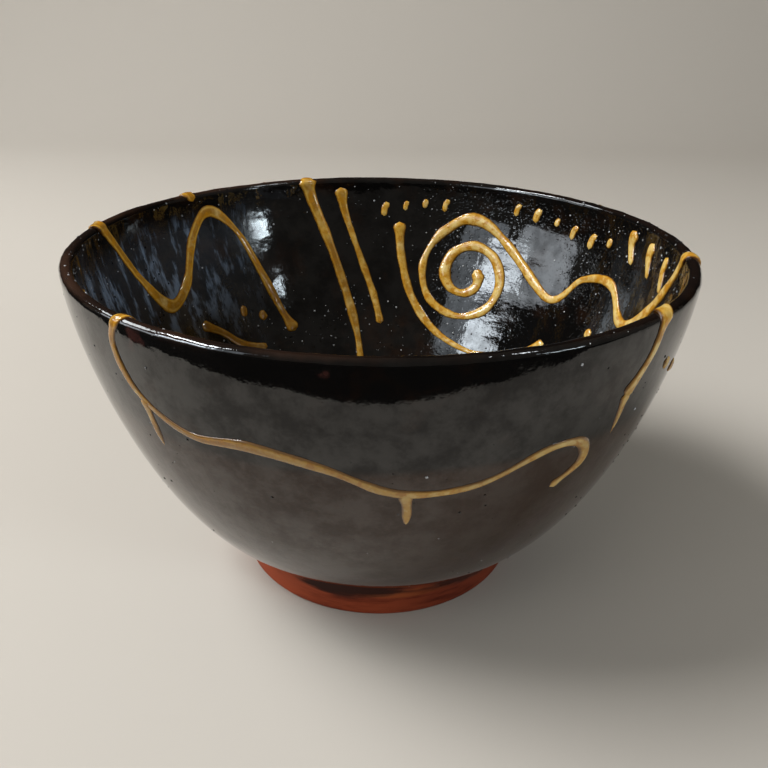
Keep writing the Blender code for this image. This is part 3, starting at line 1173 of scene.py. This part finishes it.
# %% [markdown]
# A black glaze is only as good as what it mirrors. A pale floor stands in for what the bowl stood on, and
# far behind the bowl it sweeps up into a backdrop, so that no edge shows. The wall's lower part mirrors the
# floor near the bowl and looks grey. The part under the rim, and the lip itself, mirror what lies further
# off, which was dark. The floor could be painted dark there, but then the picture would show it. Two dark
# cards do it, one on the near side and one beyond the bowl, and only the glaze sees them.

# %% Floor and dark cards
FLOOR_COLOUR = (0.585, 0.555, 0.505)
FLOOR_REACH = 6.0
SWEEP_START = 0.9
SWEEP_RADIUS = 0.6
SWEEP_STEPS = 24
CARD_BLACK = (0.006, 0.006, 0.006)
CARD_LIFT = 4 * MM
NEAR_EDGE = ((-1.2, 0.9), (-0.30, -0.02), (-0.23, -0.14), (-0.10, -0.205), (0.11, -0.215), (0.25, -0.17),
             (1.5, 0.0))   # the edge that shows as a dark line on the wall
FAR_EDGE = ((1.5, -3.0), (-3.0, -3.0), (-3.0, 0.9))
FAR_CARD_PLACE = 0.8
FAR_CARD_REACH = 2.0
FAR_CARD_HEIGHTS = (0.02, 1.6)


def plain_material(name, colour, roughness):
    """A matt finish of one colour."""
    material = bpy.data.materials.new(name)
    _, shader = material_tree(material)
    shader.inputs["Base Color"].default_value = (*colour, 1.0)
    shader.inputs["Roughness"].default_value = roughness
    shader.inputs["Specular IOR Level"].default_value = 0.1
    return material


def staged(name, points, faces, material):
    """A mesh that belongs to the stage and not to the bowl."""
    mesh = bpy.data.meshes.new(name)
    mesh.from_pydata(points, [], faces)
    mesh.materials.append(material)
    made = in_scene(name, mesh)
    return made


def swept_floor(material):
    """A floor that bends up into a backdrop far behind the bowl."""
    side = [Vector((-FLOOR_REACH, 0.0)), Vector((SWEEP_START, 0.0))]
    side += arc((SWEEP_START, SWEEP_RADIUS), SWEEP_RADIUS, -math.pi / 2, 0.0, SWEEP_STEPS)[1:]
    side.append(Vector((SWEEP_START + SWEEP_RADIUS, FLOOR_REACH)))
    points = [(x, p.x, p.y) for p in side for x in (-FLOOR_REACH, FLOOR_REACH)]
    faces = [(2 * i, 2 * i + 1, 2 * i + 3, 2 * i + 2) for i in range(len(side) - 1)]
    made = staged("floor", points, faces, material)
    made.data.shade_smooth()


def dark_card(name, corners, material):
    """A card that only the glaze sees."""
    made = staged(name, corners, [tuple(range(len(corners)))], material)
    made.visible_camera = False
    made.visible_diffuse = False
    made.visible_shadow = False


swept_floor(plain_material("pale_floor", FLOOR_COLOUR, 0.9))
card_finish = plain_material("dark_card", CARD_BLACK, 1.0)
dark_card("dark_card", [(x, y, CARD_LIFT) for x, y in NEAR_EDGE + FAR_EDGE], card_finish)
low, high = FAR_CARD_HEIGHTS
far_corners = [(-FAR_CARD_REACH, low), (FAR_CARD_REACH, low), (FAR_CARD_REACH, high), (-FAR_CARD_REACH, high)]
dark_card("far_card", [(x, FAR_CARD_PLACE, z) for x, z in far_corners], card_finish)
print("the floor reaches", FLOOR_REACH, "m, with 2 dark cards")

# %% [markdown]
# The bowl stood in daylight from one side. A picture of a sky could light it, but soft lamps are easier to
# place. Three of them light the bowl and the floor: a broad one high at the left, which makes the shadow,
# and two weaker ones. The others only show in the glaze, as the cool lights on the wall and the lip. Each
# was placed by following such a light back from the glaze to where it came from.

# %% Soft daylight
BOWL_MIDDLE = (0.0, 0.0, 80 * MM)
LAMPS = (   # name, degrees round and up, metres away, width and height, watts, colour, lights the floor
    ("left_light", (181, 50, 1.6), (0.80, 0.80), 29.0, (1.0, 0.985, 0.97), True),
    ("left_window", (183, 50, 1.6), (0.66, 0.13), 16.0, (0.92, 0.97, 1.0), False),
    ("room_light", (235, 45, 1.5), (0.8, 0.8), 3.2, (1.0, 0.98, 0.95), True),
    ("side_window", (162, 36, 1.6), (0.66, 0.36), 8.0, (0.92, 0.97, 1.0), False),
    ("near_window", (203, 26, 1.5), (0.50, 0.30), 7.5, (0.84, 0.93, 1.0), False),
    ("low_window", (184, 15, 1.5), (0.80, 0.32), 3.4, (0.86, 0.93, 1.0), False),
    ("near_pane", (217, 24, 1.5), (0.54, 0.62), 2.4, (0.82, 0.91, 1.0), False),
    ("right_window", (330, 10, 1.5), (0.20, 0.07), 1.2, (0.80, 0.93, 1.0), False),
    ("high_window", (326, 19, 1.5), (0.12, 0.04), 0.3, (0.80, 0.92, 1.0), False),
    ("right_light", (329, 12, 1.5), (0.4, 0.2), 7.5, (0.9, 0.96, 1.0), True),
    ("roof_window", (340, 54, 1.6), (0.20, 0.20), 3.0, (0.90, 0.96, 1.0), False),
)
WORLD_COLOUR = (1.0, 0.92, 0.82)
WORLD_STRENGTH = 0.13


def in_direction(azimuth, elevation, distance):
    """A place seen from the middle of the bowl in that direction, in degrees and metres."""
    turn, up = math.radians(azimuth), math.radians(elevation)
    return (
        distance * math.cos(up) * math.cos(turn),
        distance * math.cos(up) * math.sin(turn),
        distance * math.sin(up) + BOWL_MIDDLE[2],
    )


def soft_lamp(name, place, size, watts, colour, lights_floor):
    """A rectangular lamp that faces the bowl, and either lights the floor or shows in the glaze."""
    data = bpy.data.lights.new(name, "AREA")
    data.shape = "RECTANGLE"
    data.size, data.size_y = size
    data.energy = watts
    data.color = colour
    lamp = in_scene(name, data)
    lamp.location = place
    lamp.rotation_euler = (Vector(BOWL_MIDDLE) - Vector(place)).to_track_quat("-Z", "Y").to_euler()
    lamp.visible_diffuse = lights_floor
    lamp.visible_glossy = not lights_floor


def dim_world():
    """A weak warm light from all round."""
    world = bpy.data.worlds.new("daylight")
    world.use_nodes = True
    background = world.node_tree.nodes["Background"]
    background.inputs["Color"].default_value = (*WORLD_COLOUR, 1.0)
    background.inputs["Strength"].default_value = WORLD_STRENGTH
    return world


for name, bearing, size, watts, colour, lights_floor in LAMPS:
    soft_lamp(name, in_direction(*bearing), size, watts, colour, lights_floor)
bpy.context.scene.world = dim_world()
bpy.context.scene.view_settings.view_transform = "Standard"
print(len(LAMPS), "lamps,", sum(lights_floor for *_, lights_floor in LAMPS), "of which light the floor")

# %% [markdown]
# The bowl, its slip and its pimples are one body, so all three ride on it. The turned bowl takes the place
# of the imported solid, which is then hidden but still carries weight and contact.

# %% Attach the pieces to one body
for piece, finish in ((bowl, "black_glaze"), (slip, "yellow_slip"), (pimples, "black_glaze")):
    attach(piece, "root")
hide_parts("bowl")
